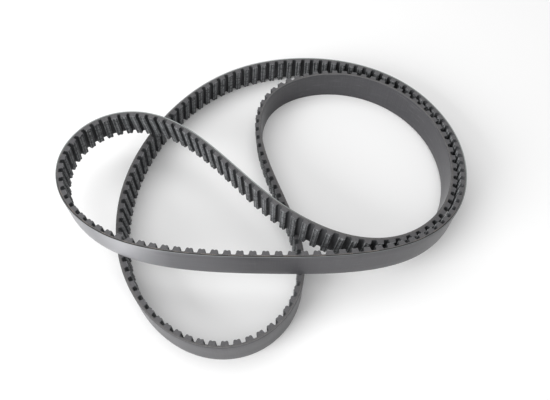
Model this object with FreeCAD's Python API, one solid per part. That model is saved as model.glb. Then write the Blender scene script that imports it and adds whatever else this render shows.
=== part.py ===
import FreeCAD, Part
import bisect
import math
import os

# A closed rubber timing belt, stood on its edge and coiled loosely on a table.
# Frame: +X to the right, +Y away from the front, +Z up, table top at Z = 0.
# Every length is in millimetres and every angle in degrees.

# ---- driving dimensions -------------------------------------------------
PITCH = 8.0                # tooth to tooth, measured along the cord line
TEETH = 221                # teeth round the whole loop
WIDTH = 24.0               # across the belt, rim to rim

LAND_THICKNESS = 2.0       # smooth back to tooth root, fabric included
TOOTH_HEIGHT = 2.9         # tooth root to tooth tip
ROOT_WIDTH = 5.4           # tooth at its root, over the fabric
TIP_WIDTH = 4.2            # tooth at its tip, over the fabric
TIP_CHAMFER = 0.5          # the tip corners' bevel

BACKING_THICKNESS = 0.9    # solid rubber between the smooth back and the cords
RIM_WALL = 0.8             # rubber beside the outermost cords
RIM_WALL_CLEARANCE = 0.18  # room for straight teeth over a wall that bends and twists
CORD_LINE = 1.3            # depth of the cords' centres below the smooth back
CORD_DIAMETER = 0.65
CORD_TURNS = 18            # turns side by side across the width, S and Z in turn
CORD_MARGIN = 1.2          # first cord's centre to the rim
CORD_SIDES = 8             # a cord is a bar with this many sides
FACING_THICKNESS = 0.3     # woven fabric over teeth and lands
FACING_INSET = 0.1         # the fabric's edge stops this far short of each rim

CUT_CLEARANCE = 0.2        # each span stops this far short of the cut that ends it
JACKET_CLEARANCE = 0.27    # each tooth's fabric jacket stops this far short of mid-land
BOND_CLEARANCE = 0.02      # room between bonded layers

# ---- the way the belt lies ----------------------------------------------
# Control points of a closed uniform cubic B-spline, in the direction of travel:
# (x, y, height of the lower rim, lean of the belt towards its toothed side).
LOWER_LOBE = [
    (-9, -128, 0, 0), (-47, -128, 0, 0), (-82, -103, 0, 0), (-104, -60, 0, 0),
]
OUTER_RUN = [
    (-108, -7, 0, 0), (-94, 46, 0, 7), (-64, 92, 0, 10), (-22, 121, 0, 10),
    (30, 131, 0, 11), (80, 122, 0, 9), (119, 96, 0, 4), (141, 58, 1, -2),
    (148, 19, 4.5, -2), (141, -18, 10, -2), (125, -46, 15, -1), (98, -67, 19, 3),
    (57, -77, 23, 3), (3, -78, 25.5, 0), (-55, -76, 25, 0),
]
LEFT_LOBE = [
    (-105, -64, 24, -1), (-139, -36, 25, -1), (-151, -1, 26, 6), (-137, 33, 26, 10),
    (-104, 49, 25, 10),
]
INNER_RUN = [
    (-65, 36, 25.5, 6), (-28, 0, 26, 4), (7, -41, 26, 0), (50, -66, 22.5, -3),
    (92, -63, 16, -1), (126, -33, 8.5, 4), (141, 12, 3, 2), (132, 60, 0.5, 3),
    (100, 96, 0, 4), (56, 110, 0, 1), (14, 100, 0, -2), (-8, 72, 0, -1),
    (-5, 30, 0, 4), (13, -17, 0, 3), (28, -64, 0, -2), (20, -104, 0, 0),
]
ROUTE = LOWER_LOBE + OUTER_RUN + LEFT_LOBE + INNER_RUN

FIRST_GAP = 2.9            # distance along the route to the middle of tooth gap 0
SAMPLES_PER_POINT = 40     # of the route, when its length is measured

# The four spans run between these tooth gaps.  The two lobes are the lengths that
# rock over the strand they lie across; the runs between them stay put.
FRONT_CUT_LEFT = 14
LEFT_CUT_FRONT = 109
LEFT_CUT_BACK = 127
FRONT_CUT_RIGHT = 214
SPANS = {
    "outer_run": (FRONT_CUT_LEFT, LEFT_CUT_FRONT),
    "left_lobe": (LEFT_CUT_FRONT, LEFT_CUT_BACK),
    "inner_run": (LEFT_CUT_BACK, FRONT_CUT_RIGHT),
    "front_lobe": (FRONT_CUT_RIGHT, TEETH + FRONT_CUT_LEFT),
}


# ---- the route ----------------------------------------------------------
def blend_four(t):
    """Weights of the four control points round a place on a uniform cubic B-spline."""
    return ((1 - t) ** 3 / 6,
            (3 * t ** 3 - 6 * t ** 2 + 4) / 6,
            (-3 * t ** 3 + 3 * t ** 2 + 3 * t + 1) / 6,
            t ** 3 / 6)


def blend_slopes(t):
    """Derivatives of those weights."""
    return (-(1 - t) ** 2 / 2,
            (3 * t ** 2 - 4 * t) / 2,
            (-3 * t ** 2 + 2 * t + 1) / 2,
            t ** 2 / 2)


def route_sum(place, weights_of):
    """x, y, height and lean at a place counted in control points."""
    first = math.floor(place)
    weights = weights_of(place - first)
    total = [0.0] * 4
    for step, weight in enumerate(weights):
        point = ROUTE[(first - 1 + step) % len(ROUTE)]
        total = [a + weight * b for a, b in zip(total, point)]
    return total


def measure_route():
    """Places along the route and the distance to each."""
    places = [0.0]
    distances = [0.0]
    count = len(ROUTE) * SAMPLES_PER_POINT
    for index in range(count):
        middle = route_sum((index + 0.5) / SAMPLES_PER_POINT, blend_slopes)
        places.append((index + 1) / SAMPLES_PER_POINT)
        distances.append(distances[-1] + math.hypot(*middle[:3]) / SAMPLES_PER_POINT)
    return places, distances


PLACES, DISTANCES = measure_route()
BELT_LENGTH = TEETH * PITCH
ROUTE_SCALE = BELT_LENGTH / DISTANCES[-1]    # within a thousandth of 1


def frame_at(distance):
    """Origin on the lower rim's cord line, direction of travel, up and tooth side."""
    wanted = (distance % BELT_LENGTH) / ROUTE_SCALE
    index = min(bisect.bisect_right(DISTANCES, wanted), len(DISTANCES) - 1) - 1
    part = (wanted - DISTANCES[index]) / (DISTANCES[index + 1] - DISTANCES[index])
    place = PLACES[index] + part / SAMPLES_PER_POINT
    x, y, height, lean = route_sum(place, blend_four)
    origin = FreeCAD.Vector(x, y, height) * ROUTE_SCALE
    travel = FreeCAD.Vector(*route_sum(place, blend_slopes)[:3]).normalize()
    upright = FreeCAD.Vector(0, 0, 1) - travel * travel.z
    upright.normalize()
    side = travel.cross(upright)
    angle = math.radians(lean)
    up = upright * math.cos(angle) + side * math.sin(angle)
    tooth_side = side * math.cos(angle) - upright * math.sin(angle)
    lift = max(-tooth_side.z * (LAND_THICKNESS + TOOTH_HEIGHT - CORD_LINE),
               tooth_side.z * CORD_LINE)
    return origin + FreeCAD.Vector(0, 0, lift), travel, up, tooth_side


def belt_point(distance, across, depth):
    """A point of the belt: along it, up from the lower rim, in from the smooth back."""
    origin, travel, up, tooth_side = frame_at(distance)
    return origin + up * across + tooth_side * (depth - CORD_LINE)


def gap_distance(gap):
    """Distance along the route to the middle of a tooth gap."""
    return FIRST_GAP + gap * PITCH


# ---- solids -------------------------------------------------------------
def long_bar(section, span):
    """A bar of the given (across, depth) section that follows the belt along a span."""
    first_gap, last_gap = span
    stations = [gap_distance(gap) for gap in range(first_gap, last_gap + 1)]
    stations[0] += CUT_CLEARANCE
    stations[-1] -= CUT_CLEARANCE
    rails = []
    for across, depth in section:
        curve = Part.BSplineCurve()
        curve.interpolate(Points=[belt_point(s, across, depth) for s in stations],
                          Parameters=stations)
        rails.append(curve.toShape())
    faces = []
    for index, rail in enumerate(rails):
        faces.append(Part.makeRuledSurface(rail, rails[(index + 1) % len(rails)]))
    for station in (stations[0], stations[-1]):
        corners = [belt_point(station, across, depth) for across, depth in section]
        faces.append(Part.Face(Part.makePolygon(corners + corners[:1])))
    shell = Part.makeShell(faces)
    shell.sewShape()
    return outward_solid(shell)


def outward_solid(shell):
    """The closed shell as a solid whose faces look outwards."""
    solid = Part.makeSolid(shell)
    if solid.Volume < 0:
        solid.reverse()
    return solid


def bent(middle, along, depth):
    """A point of the belt's mid-width, in the straight frame of the tooth beside it."""
    origin, travel, up, tooth_side = frame_at(middle)
    point = belt_point(middle + along, WIDTH / 2, depth) - origin - up * (WIDTH / 2)
    return point.dot(travel), point.dot(tooth_side) + CORD_LINE


def tooth_bar(outline, middle, bottom, top):
    """A straight bar across the belt at one tooth.  The outline is (along, depth).

    A tooth stays straight where the belt bends, and the land beside it bends with the belt.
    """
    origin, travel, up, tooth_side = frame_at(middle)
    settled = [bent(middle, along, depth) if abs(along) > ROOT_WIDTH / 2 else (along, depth)
               for along, depth in outline]
    low = [origin + travel * along + tooth_side * (depth - CORD_LINE) + up * bottom
           for along, depth in settled]
    face = Part.Face(Part.makePolygon(low + low[:1]))
    return outward_solid(face.extrude(up * (top - bottom)).Shells[0])


def cord_section(across):
    """Corners of one cord's many-sided section."""
    radius = CORD_DIAMETER / 2
    corners = []
    for side in range(CORD_SIDES):
        angle = 2 * math.pi * (side + 0.5) / CORD_SIDES
        corners.append((across + radius * math.cos(angle), CORD_LINE + radius * math.sin(angle)))
    return corners


BASE_DEPTH = LAND_THICKNESS - FACING_THICKNESS
TIP_DEPTH = LAND_THICKNESS + TOOTH_HEIGHT
FLANK_SLOPE = (ROOT_WIDTH - TIP_WIDTH) / 2 / TOOTH_HEIGHT
FLANK_CLOTH = FACING_THICKNESS * math.hypot(1, FLANK_SLOPE)


def flank_at(depth):
    """Half the tooth's width over the fabric, at a depth from the smooth back."""
    return TIP_WIDTH / 2 + (TIP_DEPTH - depth) * FLANK_SLOPE


def rubber_half(depth):
    """Half the tooth's width under the fabric."""
    return flank_at(depth) - FLANK_CLOTH


def rubber_outline():
    """The tooth's rubber, under its fabric, on the cord layer."""
    crown = TIP_DEPTH - FACING_THICKNESS
    shoulder = crown - TIP_CHAMFER
    right = [(rubber_half(BASE_DEPTH), BASE_DEPTH + BOND_CLEARANCE),
             (rubber_half(shoulder), shoulder),
             (rubber_half(crown) - TIP_CHAMFER, crown)]
    return right + [(-along, depth) for along, depth in reversed(right)]


def jacket_outline():
    """The fabric over one tooth and half of the land on each side of it."""
    crown = TIP_DEPTH - FACING_THICKNESS + BOND_CLEARANCE
    shoulder = crown - TIP_CHAMFER
    end = PITCH / 2 - JACKET_CLEARANCE
    room = BOND_CLEARANCE
    right = [(rubber_half(BASE_DEPTH) + room, BASE_DEPTH),
             (end, BASE_DEPTH),
             (end, LAND_THICKNESS),
             (flank_at(LAND_THICKNESS), LAND_THICKNESS),
             (flank_at(TIP_DEPTH - TIP_CHAMFER), TIP_DEPTH - TIP_CHAMFER),
             (flank_at(TIP_DEPTH) - TIP_CHAMFER, TIP_DEPTH)]
    inner = [(rubber_half(crown) - TIP_CHAMFER + room, crown),
             (rubber_half(shoulder) + room, shoulder)]
    left = [(-along, depth) for along, depth in reversed(right)]
    under = [(-along, depth) for along, depth in reversed(inner)]
    return right + left + under + inner


# ---- the nodes ----------------------------------------------------------
def backing(span):
    """The smooth rubber back, with a wall along each rim that closes the cord layer in."""
    bed = BASE_DEPTH - RIM_WALL_CLEARANCE
    inner = WIDTH - RIM_WALL
    section = [(0, 0), (WIDTH, 0), (WIDTH, bed), (inner, bed), (inner, BACKING_THICKNESS),
               (RIM_WALL, BACKING_THICKNESS), (RIM_WALL, bed), (0, bed)]
    return [long_bar(section, span)]


def cords(span, first):
    """Every second turn of the tensile cord, which is wound in S and Z lays."""
    step = (WIDTH - 2 * CORD_MARGIN) / (CORD_TURNS - 1)
    return [long_bar(cord_section(CORD_MARGIN + turn * step), span)
            for turn in range(first, CORD_TURNS, 2)]


def along_teeth(outline, span, inset):
    """The same bar at every tooth of a span."""
    bars = []
    for gap in range(*span):
        middle = gap_distance(gap + 0.5)
        bars.append(tooth_bar(outline, middle, inset, WIDTH - inset))
    return bars


def span_nodes(name, span):
    """The five layers of one span, bonded to each other on the real belt."""
    return {
        "backing_" + name: backing(span),
        "cords_s_" + name: cords(span, 0),
        "cords_z_" + name: cords(span, 1),
        "teeth_" + name: along_teeth(rubber_outline(), span, 0),
        "facing_" + name: along_teeth(jacket_outline(), span, FACING_INSET),
    }


def main():
    os.makedirs("parts", exist_ok=True)
    for name, span in SPANS.items():
        for node, solids in span_nodes(name, span).items():
            shape = solids[0] if len(solids) == 1 else Part.makeCompound(solids)
            shape.exportStep("parts/" + node + ".step")
            print(node, len(solids), "solids", round(shape.Volume), "mm3", shape.isValid())
    print("route scale", ROUTE_SCALE)


main()
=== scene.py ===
import math

import bpy
import numpy as np
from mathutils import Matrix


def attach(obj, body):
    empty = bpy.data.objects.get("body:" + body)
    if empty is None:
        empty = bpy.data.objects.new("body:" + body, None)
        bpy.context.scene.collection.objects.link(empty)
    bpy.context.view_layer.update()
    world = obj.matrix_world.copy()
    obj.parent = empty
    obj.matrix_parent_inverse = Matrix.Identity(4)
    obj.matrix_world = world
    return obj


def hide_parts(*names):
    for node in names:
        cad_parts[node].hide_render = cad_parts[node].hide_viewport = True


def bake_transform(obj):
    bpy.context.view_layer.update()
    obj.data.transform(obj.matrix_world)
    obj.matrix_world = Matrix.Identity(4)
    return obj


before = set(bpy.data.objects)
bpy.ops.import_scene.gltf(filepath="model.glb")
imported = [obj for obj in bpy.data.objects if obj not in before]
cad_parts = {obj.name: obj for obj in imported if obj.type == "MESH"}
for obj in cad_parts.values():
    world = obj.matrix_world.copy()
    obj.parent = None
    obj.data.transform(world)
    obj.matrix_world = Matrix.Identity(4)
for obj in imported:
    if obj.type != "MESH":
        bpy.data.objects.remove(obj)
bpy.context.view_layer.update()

MM = 0.001
FULL_TURN = 2 * math.pi
SHARP_ANGLE = math.radians(38)

# ---- the belt, in millimetres -------------------------------------------
PITCH = 8.0
TEETH = 221
WIDTH = 24.0
TIP = 4.9                  # smooth back to tooth tip
CORD_LINE = 1.3            # smooth back to the cords' centres
BED = 1.66                 # smooth back to the bottom of the tooth rubber
CLOTH = 0.3                # thickness of the fabric facing
TURNS = 18                 # turns of cord across the width
CORD_RADIUS = 0.36
CORD_SIDES = 8
CORD_LIFT = 0.05           # the turns lie this much nearer the back than the cord line
RIM_CORD = 0.33            # outermost cords' centres to the rim: they show at the cut
WANDER = 0.05              # how far a cord wanders in depth, and how fast along the belt
WANDER_RATE = 0.19
FLUTTER = 0.03
FLUTTER_RATE = 0.53
SWELL = 0.02               # how far its radius varies
SWELL_RATE = 0.37
STIFF_HALF = 2.4           # from a tooth's middle to where its belt begins to bend
STIFF_FADE = 1.2           # and the length over which the bending sets in
FABRIC_EDGE = 0.05         # the fabric's edge to the rim
FABRIC_ROUND = 0.25        # the rim to where the fabric lies flat
FABRIC_DROP = 0.07         # how far the fabric's edge is rounded down
BACK_STEP = 1.6            # between the back's cross-sections
CORD_STEP = 2.0            # between the cords' cross-sections

# The back's section, slightly rounded by the slitting knife: across, depth.
BACK_SECTION = [
    (0.0, BED), (0.0, 0.30), (0.05, 0.14), (0.16, 0.04), (0.36, 0.0), (6.0, 0.0),
    (12.0, 0.0), (18.0, 0.0), (WIDTH - 0.36, 0.0), (WIDTH - 0.16, 0.04),
    (WIDTH - 0.05, 0.14), (WIDTH, 0.30), (WIDTH, BED),
]

# Half of one tooth: distance from its middle, depth below the smooth back.
HALF_TOOTH = [
    (0.0, 4.56), (0.30, 4.60), (0.60, 4.78), (0.90, 4.88), (1.26, 4.90), (1.58, 4.86),
    (1.84, 4.74), (2.04, 4.53), (2.17, 4.25), (2.33, 3.45), (2.49, 2.70), (2.60, 2.34),
    (2.77, 2.12), (3.03, 2.02), (3.38, 2.00), (4.0, 2.00),
]

# The belt's route: x, y, height of the lower rim, degrees of lean towards the toothed side.
ROUTE = [
    (-9, -128, 0, 0), (-47, -128, 0, 0), (-82, -103, 0, 0), (-104, -60, 0, 0),
    (-108, -7, 0, 0), (-94, 46, 0, 7), (-64, 92, 0, 10), (-22, 121, 0, 10),
    (30, 131, 0, 11), (80, 122, 0, 9), (119, 96, 0, 4), (141, 58, 1, -2),
    (148, 19, 4.5, -2), (141, -18, 10, -2), (125, -46, 15, -1), (98, -67, 19, 3),
    (57, -77, 23, 3), (3, -78, 25.5, 0), (-55, -76, 25, 0), (-105, -64, 24, -1),
    (-139, -36, 25, -1), (-151, -1, 26, 6), (-137, 33, 26, 10), (-104, 49, 25, 10),
    (-65, 36, 25.5, 6), (-28, 0, 26, 4), (7, -41, 26, 0), (50, -66, 22.5, -3),
    (92, -63, 16, -1), (126, -33, 8.5, 4), (141, 12, 3, 2), (132, 60, 0.5, 3),
    (100, 96, 0, 4), (56, 110, 0, 1), (14, 100, 0, -2), (-8, 72, 0, -1),
    (-5, 30, 0, 4), (13, -17, 0, 3), (28, -64, 0, -2), (20, -104, 0, 0),
]
FIRST_GAP = 2.9            # distance along the route to the middle of tooth gap 0
SAMPLES_PER_POINT = 40

# The first and last tooth gap of each span.  Spans meet in gaps that keep still.
SPANS = {
    "outer_run": (19, 104),
    "left_lobe": (104, 131),
    "inner_run": (131, 209),
    "front_lobe": (209, TEETH + 19),
}


# ---- the route ----------------------------------------------------------
def route_sum(place, weights_of):
    """x, y, height and lean at places counted in control points."""
    route = np.array(ROUTE, float)
    first = np.floor(place).astype(int)
    weights = weights_of(place - first)
    total = np.zeros((len(place), 4))
    for step, weight in enumerate(weights):
        total += weight[:, None] * route[(first - 1 + step) % len(route)]
    return total


def blend_four(t):
    """Weights of four control points: a cubic B-spline."""
    return ((1 - t) ** 3 / 6,
            (3 * t ** 3 - 6 * t ** 2 + 4) / 6,
            (-3 * t ** 3 + 3 * t ** 2 + 3 * t + 1) / 6,
            t ** 3 / 6)


def blend_slopes(t):
    """Slopes of the four weights."""
    return (-(1 - t) ** 2 / 2,
            (3 * t ** 2 - 4 * t) / 2,
            (-3 * t ** 2 + 2 * t + 1) / 2,
            t ** 2 / 2)


COUNT = len(ROUTE) * SAMPLES_PER_POINT
PLACES = np.arange(COUNT + 1) / SAMPLES_PER_POINT
SLOPES = route_sum((np.arange(COUNT) + 0.5) / SAMPLES_PER_POINT, blend_slopes)[:, :3]
STEPS = np.linalg.norm(SLOPES, axis=1) / SAMPLES_PER_POINT
DISTANCES = np.concatenate([[0.0], np.cumsum(STEPS)])
BELT_LENGTH = TEETH * PITCH
SCALE = BELT_LENGTH / DISTANCES[-1]


def unit(v):
    """Vectors of length one."""
    return v / np.linalg.norm(v, axis=-1, keepdims=True)


def frames(along):
    """Origin on the lower rim's cord line, travel, up and tooth side, at distances."""
    place = np.interp((along % BELT_LENGTH) / SCALE, DISTANCES, PLACES)
    at = route_sum(place, blend_four)
    travel = unit(route_sum(place, blend_slopes)[:, :3])
    upright = unit(np.array([0.0, 0.0, 1.0]) - travel * travel[:, 2:])
    side = np.cross(travel, upright)
    lean = np.radians(at[:, 3])[:, None]
    up = upright * np.cos(lean) + side * np.sin(lean)
    tooth_side = side * np.cos(lean) - upright * np.sin(lean)
    origin = at[:, :3] * SCALE
    origin[:, 2] += np.maximum(-tooth_side[:, 2] * (TIP - CORD_LINE), tooth_side[:, 2] * CORD_LINE)
    return origin, travel, up, tooth_side


def belt_points(along, across, depth, rigid_from=None):
    """Points of the belt, columns by rows, in metres.

    rigid_from gives each column's tooth middle: the belt stays straight there.
    """
    origin, travel, up, tooth_side = frames(along)
    bent = (origin[:, None] + up[:, None] * across[..., None]
            + tooth_side[:, None] * (depth - CORD_LINE)[..., None])
    if rigid_from is None:
        return bent * MM
    origin, travel, up, tooth_side = frames(rigid_from)
    off = (along - rigid_from)[:, None, None]
    straight = (origin[:, None] + travel[:, None] * off + up[:, None] * across[..., None]
                + tooth_side[:, None] * (depth - CORD_LINE)[..., None])
    t = np.clip((np.abs(off) - STIFF_HALF) / STIFF_FADE, 0, 1)
    share = t * t * (3 - 2 * t)
    return (straight * (1 - share) + bent * share) * MM


# ---- meshes -------------------------------------------------------------
def belt_mesh(name, vertices, faces, place):
    """A mesh that keeps its belt coordinates: distance, across and depth of each point."""
    mesh = bpy.data.meshes.new(name)
    mesh.from_pydata(vertices.tolist(), [], faces)
    store = mesh.attributes.new("belt_place", "FLOAT_VECTOR", "POINT")
    store.data.foreach_set("vector", (place * MM).astype(np.float32).ravel())
    return mesh


def closed_bar(name, points, place):
    """A bar with closed ends: points is columns by corners, place its belt coordinates."""
    columns, corners = points.shape[:2]
    index = np.arange(columns * corners).reshape(columns, corners)
    here, ahead = index[:-1], index[1:]
    quads = np.stack([here, ahead, np.roll(ahead, -1, 1), np.roll(here, -1, 1)], -1).reshape(-1, 4)
    ends = [tuple(index[0]), tuple(index[-1][::-1])]
    return belt_mesh(name, points.reshape(-1, 3), quads.tolist() + ends, place)


def finish_piece(mesh, material, span, layer):
    """Shade, place and attach a piece, and hide the CAD solids it stands for."""
    mesh.validate()
    mesh.update()
    mesh.shade_smooth()
    mesh.set_sharp_from_angle(angle=SHARP_ANGLE)
    mesh.materials.append(material)
    piece = bpy.data.objects.new(mesh.name, mesh)
    bpy.context.scene.collection.objects.link(piece)
    hold(piece, span)
    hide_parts(layer + "_" + span)


def hold(piece, span):
    """Runs are attached to the resting body; a lobe's piece only has its placement baked into its
    mesh.
    """
    if span == "left_lobe":
        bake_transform(piece)
    elif span == "front_lobe":
        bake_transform(piece)
    else:
        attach(piece, "runs")


def gap_distance(gap):
    """Distance along the belt to the middle of a tooth gap."""
    return FIRST_GAP + gap * PITCH


def outline_normals(outline):
    """Unit normals of an open outline of (along, depth), pointing out of the belt."""
    slope = np.gradient(outline, axis=0)
    return unit(np.stack([-slope[:, 1], slope[:, 0]], -1))


def tooth_columns(span):
    """Columns along a span: distance, outer depth, inner distance and depth, tooth, arc."""
    half = np.array(HALF_TOOTH)
    left = half[::-1] * [-1, 1]
    pitch = np.concatenate([left, half[1:]])
    three = np.concatenate([pitch[:-1] - [PITCH, 0], pitch[:-1], pitch + [PITCH, 0]])
    size = len(pitch) - 1
    inner = (three - outline_normals(three) * CLOTH)[size:2 * size + 1]
    steps = np.linalg.norm(np.diff(pitch, axis=0), axis=1)
    arc = np.concatenate([[0.0], np.cumsum(steps)])
    first, last = span
    along, depth, in_along, in_depth, middle, arcs = [], [], [], [], [], []
    for tooth in range(first, last):
        stop = size + 1 if tooth == last - 1 else size
        centre = gap_distance(tooth + 0.5)
        along.append(centre + pitch[:stop, 0])
        depth.append(pitch[:stop, 1])
        in_along.append(centre + inner[:stop, 0])
        in_depth.append(inner[:stop, 1])
        middle.append(np.full(stop, centre))
        arcs.append(tooth * arc[-1] + arc[:stop])
    return [np.concatenate(a) for a in (along, depth, in_along, in_depth, middle, arcs)]


def fabric(span_name, material):
    """The woven facing: one skin that follows every tooth and land."""
    along, depth, in_along, in_depth, middle, arcs = tooth_columns(SPANS[span_name])
    across_outer = np.array([FABRIC_EDGE, FABRIC_ROUND, WIDTH / 4, WIDTH / 2, WIDTH * 3 / 4,
                             WIDTH - FABRIC_ROUND, WIDTH - FABRIC_EDGE])
    across_inner = np.array([WIDTH - FABRIC_EDGE, FABRIC_EDGE])
    drop = np.zeros(len(across_outer))
    drop[[0, -1]] = FABRIC_DROP
    n = len(along)
    outer_depth = np.tile(depth[:, None], (1, len(across_outer)))
    inner_depth = np.tile(in_depth[:, None], (1, len(across_inner)))
    outer = belt_points(along, np.tile(across_outer, (n, 1)), outer_depth - drop, middle)
    inner = belt_points(in_along, np.tile(across_inner, (n, 1)), inner_depth, middle)
    points = np.concatenate([outer, inner], 1)
    rows = np.concatenate([across_outer, across_inner])
    place = np.zeros((n, len(rows), 3))
    place[..., 0] = arcs[:, None]
    place[..., 1] = rows
    place[..., 2] = np.concatenate([outer_depth, inner_depth], 1)
    mesh = closed_bar("fabric_" + span_name, points, place)
    finish_piece(mesh, material, span_name, "facing")


def teeth(span_name, material):
    """The tooth rubber between the cord layer and the facing."""
    _, _, in_along, in_depth, middle, arcs = tooth_columns(SPANS[span_name])
    n = len(in_along)
    rows = np.array([0.0, WIDTH, WIDTH, 0.0])
    depth = np.stack([in_depth, in_depth, np.full(n, BED), np.full(n, BED)], 1)
    points = belt_points(in_along, np.tile(rows, (n, 1)), depth, middle)
    place = np.zeros((n, 4, 3))
    place[..., 0] = arcs[:, None]
    place[..., 1] = rows
    place[..., 2] = depth
    mesh = closed_bar("tooth_rubber_" + span_name, points, place)
    finish_piece(mesh, material, span_name, "teeth")


def stations(span_name, step):
    """Evenly spaced distances along a span, about a step apart."""
    first, last = SPANS[span_name]
    start, end = gap_distance(first), gap_distance(last)
    return np.linspace(start, end, int(round((end - start) / step)) + 1)


def backing(span_name, material):
    """The smooth rubber back, out to the cord layer."""
    section = np.array(BACK_SECTION)
    along = stations(span_name, BACK_STEP)
    n = len(along)
    across = np.tile(section[:, 0], (n, 1))
    depth = np.tile(section[:, 1], (n, 1))
    points = belt_points(along, across, depth)
    place = np.stack([np.tile(along[:, None], (1, len(section))), across, depth], -1)
    mesh = closed_bar("back_" + span_name, points[:, ::-1], place[:, ::-1])
    finish_piece(mesh, material, span_name, "backing")


def cords(span_name, lay, material):
    """Every second turn of cord; the outermost turn shows along the cut rim."""
    first = 0 if lay == "s" else 1
    along = stations(span_name, CORD_STEP)
    angles = FULL_TURN * (np.arange(CORD_SIDES) + 0.5) / CORD_SIDES
    radius = CORD_RADIUS + SWELL * np.sin(along * SWELL_RATE)
    vertices, faces, places = [], [], []
    for turn in range(first, TURNS, 2):
        centre = RIM_CORD + turn * (WIDTH - 2 * RIM_CORD) / (TURNS - 1)
        wander = WANDER * np.sin(along * WANDER_RATE + turn) + FLUTTER * np.sin(along * FLUTTER_RATE)
        across = centre + radius[:, None] * np.cos(angles)
        depth = CORD_LINE - CORD_LIFT + wander[:, None] + radius[:, None] * np.sin(angles)
        points = belt_points(along, across, depth)
        count = sum(len(v) for v in vertices)
        index = np.arange(points.shape[0] * CORD_SIDES).reshape(-1, CORD_SIDES) + count
        here, ahead = index[:-1], index[1:]
        quads = np.stack([here, np.roll(here, -1, 1), np.roll(ahead, -1, 1), ahead], -1)
        faces += quads.reshape(-1, 4).tolist()
        faces += [tuple(index[0][::-1]), tuple(index[-1])]
        vertices.append(points.reshape(-1, 3))
        distance = np.tile(along[:, None], (1, CORD_SIDES))
        places.append(np.stack([distance, across, depth], -1).reshape(-1, 3))
    mesh = belt_mesh("cord_" + lay + "_" + span_name, np.concatenate(vertices), faces,
                     np.concatenate(places))
    finish_piece(mesh, material, span_name, "cords_" + lay)


# ---- materials, in metres -----------------------------------------------
MIX_SHARE, MIX_FIRST, MIX_SECOND = 0, 6, 7    # a Mix node's inputs, when it mixes colours
MIX_RESULT = 2
WARP_PITCH = 0.00042       # the fabric's threads along the belt
WEFT_PITCH = 0.00050       # and across it
CORD_TWIST = 0.0014        # length of one twist of a cord
CORD_SLANT = 2.2           # slope of its strands
# Stretches of the belt, as distances where a change begins, is full, is still full and ends.
# Painted highlight: where the left lobe's back is painted paler, and where it is palest.
PAINTED_HIGHLIGHT_STRETCH = (0.775, 0.853, 0.90, 1.00)
BRIGHTEST_HIGHLIGHT_STRETCH = (0.828, 0.853, 0.860, 0.882)
FRONT_STRETCH = (0.58, 0.64, 0.92, 0.97)
BARE_STRETCH = (0.60, 0.64, 0.92, 0.97)
# The rims are plain, without most of their painted highlight and painted shade line, before one
# change and after another.
PLAIN_BEFORE = (0.32, 0.22)
PLAIN_AFTER = (1.14, 1.20)


class Nodes:
    """A short way to write a material's node tree."""

    def __init__(self, name):
        """Start a material with its usual shader."""
        self.material = bpy.data.materials.new(name)
        self.material.use_nodes = True
        self.tree = self.material.node_tree
        self.shader = self.tree.nodes["Principled BSDF"]

    def add(self, kind, inputs=None, **settings):
        """Add a node, with its inputs linked or set."""
        node = self.tree.nodes.new("ShaderNode" + kind)
        for key, value in settings.items():
            setattr(node, key, value)
        for key, value in (inputs or {}).items():
            if isinstance(value, bpy.types.NodeSocket):
                self.tree.links.new(value, node.inputs[key])
            else:
                node.inputs[key].default_value = value
        return node

    def place(self, scale):
        """Belt coordinates in metres, times a scale for each axis."""
        source = self.add("Attribute", attribute_name="belt_place")
        return self.add("Mapping", {"Vector": source.outputs["Vector"], "Scale": scale}).outputs[0]

    def belt(self):
        """Distance along, distance across and depth, in metres."""
        return self.add("SeparateXYZ", {"Vector": self.place((1.0, 1.0, 1.0))}).outputs[:3]

    def noise(self, scale, detail=4.0, rough=0.6):
        """Noise in belt coordinates, with its own scale along, across and in depth."""
        return self.add("TexNoise", {"Vector": self.place(scale), "Scale": 1.0, "Detail": detail,
                                     "Roughness": rough}).outputs["Fac"]

    def spread(self, value, low, high, to_low=0.0, to_high=1.0):
        """A value between low and high stretched to a new range, and held beyond it."""
        return self.add("MapRange", {"Value": value, "From Min": low, "From Max": high,
                                     "To Min": to_low, "To Max": to_high}).outputs[0]

    def math(self, operation, a, b=0.0):
        return self.add("Math", {0: a, 1: b}, operation=operation).outputs[0]

    def times(self, a, b):
        return self.math("MULTIPLY", a, b)

    def band(self, value, out_low, in_low, in_high, out_high):
        """One between the inner limits, falling to nought at the outer ones."""
        return self.times(self.spread(value, out_low, in_low), self.spread(value, out_high, in_high))

    def mix(self, share, a, b):
        """Colour a, with a share of colour b."""
        node = self.add("Mix", data_type="RGBA")
        for key, value in ((MIX_SHARE, share), (MIX_FIRST, a), (MIX_SECOND, b)):
            if isinstance(value, bpy.types.NodeSocket):
                self.tree.links.new(value, node.inputs[key])
            else:
                node.inputs[key].default_value = value if key == MIX_SHARE else (*value, 1.0)
        return node.outputs[MIX_RESULT]

    def bump(self, height, strength, distance, before=None):
        inputs = {"Height": height, "Strength": strength, "Distance": distance}
        if before is not None:
            inputs["Normal"] = before
        return self.add("Bump", inputs).outputs[0]

    def set(self, **values):
        """Set or link the shader's inputs, and hand back the material."""
        for key, value in values.items():
            socket = self.shader.inputs[key.replace("_", " ")]
            if isinstance(value, bpy.types.NodeSocket):
                self.tree.links.new(value, socket)
            else:
                socket.default_value = value
        return self.material


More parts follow.
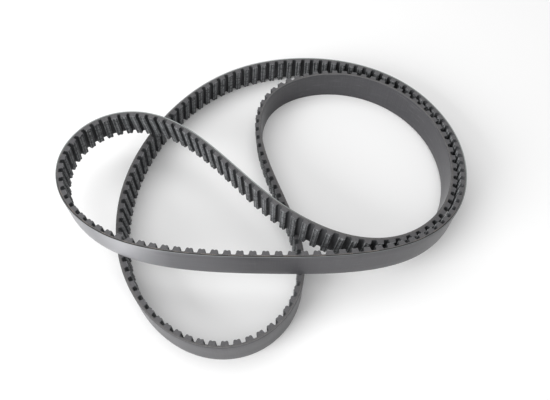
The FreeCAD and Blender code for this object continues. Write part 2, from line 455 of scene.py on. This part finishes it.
def back_material():
    """Ground rubber: dusty and a little shiny on the back, with painted highlights on the left lobe
    and rims and painted shade lines on the rims, and matt where it is cut.
    """
    n = Nodes("back_rubber")
    along, across, depth = n.belt()
    blotch = n.noise((14.0, 70.0, 0.0), 5.0, 0.6)
    grain = n.noise((1500.0, 260.0, 900.0), 3.0, 0.7)
    ground = n.noise((2600.0, 30.0, 0.0), 2.0, 0.6)
    scuff = n.spread(n.noise((60.0, 500.0, 0.0), 6.0, 0.7), 0.56, 0.74)
    dust = n.spread(n.noise((420.0, 420.0, 420.0), 6.0, 0.75), 0.60, 0.78)
    base = n.mix(n.spread(blotch, 0.3, 0.7), (0.027, 0.026, 0.031), (0.044, 0.043, 0.049))
    base = n.mix(n.spread(ground, 0.3, 0.7, 0.0, 0.22), base, (0.10, 0.10, 0.107))
    base = n.mix(n.times(scuff, 0.45), base, (0.15, 0.15, 0.16))
    base = n.mix(n.times(dust, 0.40), base, (0.22, 0.22, 0.23))

    # Painted highlight: the left lobe's back is painted paler, in patches, where light glances off
    # it, and palest on one short stretch.
    highlight_patches = n.spread(n.noise((30.0, 160.0, 0.0), 5.0, 0.65), 0.25, 0.70, 0.75, 1.0)
    painted_highlight = n.times(n.band(along, *PAINTED_HIGHLIGHT_STRETCH), highlight_patches)
    base = n.mix(n.times(painted_highlight, 0.80), base, (0.238, 0.238, 0.252))
    brightest_highlight = n.band(along, *BRIGHTEST_HIGHLIGHT_STRETCH)
    base = n.mix(n.times(brightest_highlight, 0.70), base, (0.40, 0.40, 0.42))

    # Long scratches near the upper rim.
    scratch = n.spread(n.noise((26.0, 2300.0, 0.0), 2.0, 0.5), 0.62, 0.70)
    scratch = n.times(scratch, n.spread(across, 0.0195, 0.0225))
    base = n.mix(n.times(scratch, 0.6), base, (0.30, 0.285, 0.27))

    # The cut rims: frayed rubber, a painted highlight along the light bevel, a painted dark shade
    # line in the crease and, in front, a second painted dark shade line along the seam.
    fray = n.noise((900.0, 900.0, 2500.0), 4.0, 0.7)
    cut = n.mix(n.spread(fray, 0.35, 0.68), (0.056, 0.054, 0.055), (0.145, 0.138, 0.138))
    base = n.mix(n.spread(depth, 0.00030, 0.00046), base, cut)
    front = n.band(along, *FRONT_STRETCH)
    plain = n.math("MAXIMUM", n.spread(along, *PLAIN_AFTER), n.spread(along, *PLAIN_BEFORE))
    # Painted highlight along the rounded edge: weaker in front, faded out where the rims are plain.
    bevel_highlight = n.band(depth, 0.00006, 0.00018, 0.00086, 0.00098)
    bevel_highlight = n.times(bevel_highlight, n.spread(front, 0.0, 1.0, 0.9, 0.55))
    bevel_highlight = n.times(bevel_highlight, n.spread(plain, 0.0, 1.0, 1.0, 0.08))
    base = n.mix(bevel_highlight, base, (0.30, 0.33, 0.326))
    # Painted shade: a dark line along the front's rims.
    front_shade_line = n.band(depth, 0.00036, 0.00044, 0.00098, 0.00108)
    base = n.mix(n.times(front_shade_line, front), base, (0.014, 0.013, 0.013))
    # Painted shade: a dark line in the crease below the bevel, faded where the rims are plain.
    crease_shade_line = n.band(depth, 0.00090, 0.00100, 0.00118, 0.00130)
    crease_shade_line = n.times(crease_shade_line, n.spread(plain, 0.0, 1.0, 0.80, 0.10))
    base = n.mix(crease_shade_line, base, (0.012, 0.011, 0.011))

    rough = n.spread(blotch, 0.25, 0.75, 0.42, 0.55)
    rough = n.math("MAXIMUM", rough, n.spread(depth, 0.0001, 0.0004, 0.0, 0.75))
    height = n.bump(grain, 0.18, 0.00005)
    height = n.bump(ground, 0.18, 0.00006, height)
    return n.set(Base_Color=base, Roughness=rough, Normal=height, Specular_IOR_Level=0.62,
                 Sheen_Weight=0.16, Sheen_Roughness=0.35)


def tooth_material():
    """The cut ends of the teeth: dull rubber with knife marks along the belt."""
    n = Nodes("tooth_rubber")
    cut = n.noise((500.0, 500.0, 3000.0), 4.0, 0.65)
    base = n.mix(n.spread(cut, 0.3, 0.72), (0.056, 0.056, 0.060), (0.148, 0.145, 0.150))
    return n.set(Base_Color=base, Roughness=n.spread(cut, 0.3, 0.7, 0.6, 0.8),
                 Normal=n.bump(cut, 0.4, 0.00008), Specular_IOR_Level=0.3)


def facing_material():
    """Woven nylon: fine weave, streaks across the belt, pale flecks, worn tooth corners with a
    painted highlight, lands painted lighter.
    """
    n = Nodes("nylon_facing")
    along, across, depth = n.belt()
    warp = n.math("SINE", n.times(along, FULL_TURN / WARP_PITCH))
    weft = n.math("SINE", n.times(across, FULL_TURN / WEFT_PITCH))
    weave = n.spread(n.times(warp, weft), -1.0, 1.0)
    streak = n.noise((900.0, 70.0, 700.0), 5.0, 0.65)
    fleck = n.spread(n.noise((2200.0, 120.0, 1400.0), 4.0, 0.7), 0.56, 0.66)
    blotch = n.spread(n.noise((60.0, 60.0, 60.0), 3.0, 0.5), 0.35, 0.7)
    raised = n.spread(depth, 0.0020, 0.0024)
    # Worn, pale fabric on the tooth corners, which also stands in for a painted highlight where the
    # corners catch the light.
    corner = n.band(depth, 0.0040, 0.0044, 0.00480, 0.004895)
    worn_and_highlight = n.times(corner, n.spread(n.noise((300.0, 500.0, 300.0), 4.0, 0.7), 0.38, 0.54))
    # The lands are painted lighter than the teeth, to lift the shade that falls in the gaps.
    land_painted_lighter = n.mix(n.spread(streak, 0.34, 0.66), (0.052, 0.053, 0.056), (0.092, 0.093, 0.098))
    tooth = n.mix(n.spread(streak, 0.36, 0.64), (0.022, 0.023, 0.025), (0.061, 0.064, 0.068))
    base = n.mix(raised, land_painted_lighter, tooth)
    base = n.mix(n.times(n.times(blotch, raised), 0.22), base, (0.085, 0.087, 0.09))
    base = n.mix(n.times(worn_and_highlight, 0.65), base, (0.36, 0.37, 0.38))
    base = n.mix(n.times(fleck, n.spread(raised, 0.0, 1.0, 0.25, 0.80)), base, (0.21, 0.215, 0.223))
    base = n.mix(n.times(weave, 0.20), base, (0.010, 0.010, 0.011))
    height = n.bump(weave, 0.5, 0.00006)
    height = n.bump(streak, 0.4, 0.00016, height)
    return n.set(Base_Color=base, Roughness=n.spread(streak, 0.3, 0.7, 0.60, 0.85), Normal=height,
                 Specular_IOR_Level=n.spread(raised, 0.0, 1.0, 0.15, 0.35))


def cord_material(lay, colour, dark):
    """Twisted glass cord, partly smeared over with rubber by the knife."""
    n = Nodes("glass_cord_" + lay)
    along, _, depth = n.belt()
    slant = CORD_SLANT if lay == "s" else -CORD_SLANT
    twist = n.math("ADD", n.times(along, FULL_TURN / CORD_TWIST),
                   n.times(depth, slant * FULL_TURN / CORD_TWIST))
    strand = n.spread(n.math("SINE", twist), -1.0, 1.0)
    base = n.mix(strand, dark, colour)
    bare = n.band(along, *BARE_STRETCH)
    smear = n.math("SUBTRACT", n.noise((160.0, 900.0, 900.0), 5.0, 0.65), n.times(bare, 0.18))
    base = n.mix(n.spread(smear, 0.28, 0.46, 0.10, 0.97), base, (0.080, 0.078, 0.079))
    return n.set(Base_Color=base, Roughness=n.spread(smear, 0.3, 0.7, 0.55, 0.8),
                 Normal=n.bump(strand, 0.5, 0.0001))


def floor_material():
    """A plain pale surface."""
    n = Nodes("floor")
    place = n.add("TexCoord").outputs["Object"]
    cloud = n.add("TexNoise", {"Vector": place, "Scale": 3.0, "Detail": 2.0}).outputs["Fac"]
    base = n.mix(n.spread(cloud, 0.3, 0.7), (0.90, 0.90, 0.90), (0.92, 0.92, 0.92))
    return n.set(Base_Color=base, Roughness=0.7, Specular_IOR_Level=0.2)


MATERIALS = {
    "back": back_material(),
    "teeth": tooth_material(),
    "fabric": facing_material(),
    "s": cord_material("s", (0.30, 0.250, 0.215), (0.160, 0.130, 0.112)),
    "z": cord_material("z", (0.27, 0.228, 0.198), (0.145, 0.118, 0.102)),
}

for span in SPANS:
    backing(span, MATERIALS["back"])
    cords(span, "s", MATERIALS["s"])
    cords(span, "z", MATERIALS["z"])
    teeth(span, MATERIALS["teeth"])
    fabric(span, MATERIALS["fabric"])

# ---- floor, light and camera --------------------------------------------
REACH = 3.0                # from the middle of the floor to its sides
floor_corners = [(-REACH, -REACH, 0), (REACH, -REACH, 0), (REACH, REACH, 0), (-REACH, REACH, 0)]
floor_mesh = bpy.data.meshes.new("floor")
floor_mesh.from_pydata(floor_corners, [], [(0, 1, 2, 3)])
floor_mesh.materials.append(floor_material())
floor = bpy.data.objects.new("floor", floor_mesh)
bpy.context.scene.collection.objects.link(floor)

world = bpy.data.worlds.new("studio")
bpy.context.scene.world = world
bpy.context.scene.view_settings.view_transform = "Standard"
world.use_nodes = True
world.node_tree.nodes["Background"].inputs["Color"].default_value = (1.0, 1.0, 1.0, 1.0)
world.node_tree.nodes["Background"].inputs["Strength"].default_value = 0.40


def soft_light(name, place, aim, size, power):
    """A square area light at a place, turned towards an aim."""
    light = bpy.data.lights.new(name, "AREA")
    light.size = size
    light.energy = power
    lamp = bpy.data.objects.new(name, light)
    away = np.array(place) - np.array(aim)
    lamp.location = place
    lamp.rotation_euler = (math.atan2(math.hypot(away[0], away[1]), away[2]), 0.0,
                           math.atan2(away[0], -away[1]))
    lamp.visible_camera = False
    bpy.context.scene.collection.objects.link(lamp)


# Places in metres, power in watts.
soft_light("overhead", (-0.22, 0.0, 1.2), (0.0, 0.0, 0.0), 1.6, 12.0)
soft_light("front_left", (-1.6, -1.1, 0.80), (-0.05, 0.0, 0.02), 1.3, 40.0)

camera_data = bpy.data.cameras.new("camera")
camera_data.sensor_width = 36.0    # millimetres
camera_data.lens = 35.35
camera = bpy.data.objects.new("camera", camera_data)
camera.location = (0.006, -0.228, 0.354)
camera.rotation_euler = (math.radians(32.2), 0.0, 0.0)
bpy.context.scene.collection.objects.link(camera)
bpy.context.scene.camera = camera
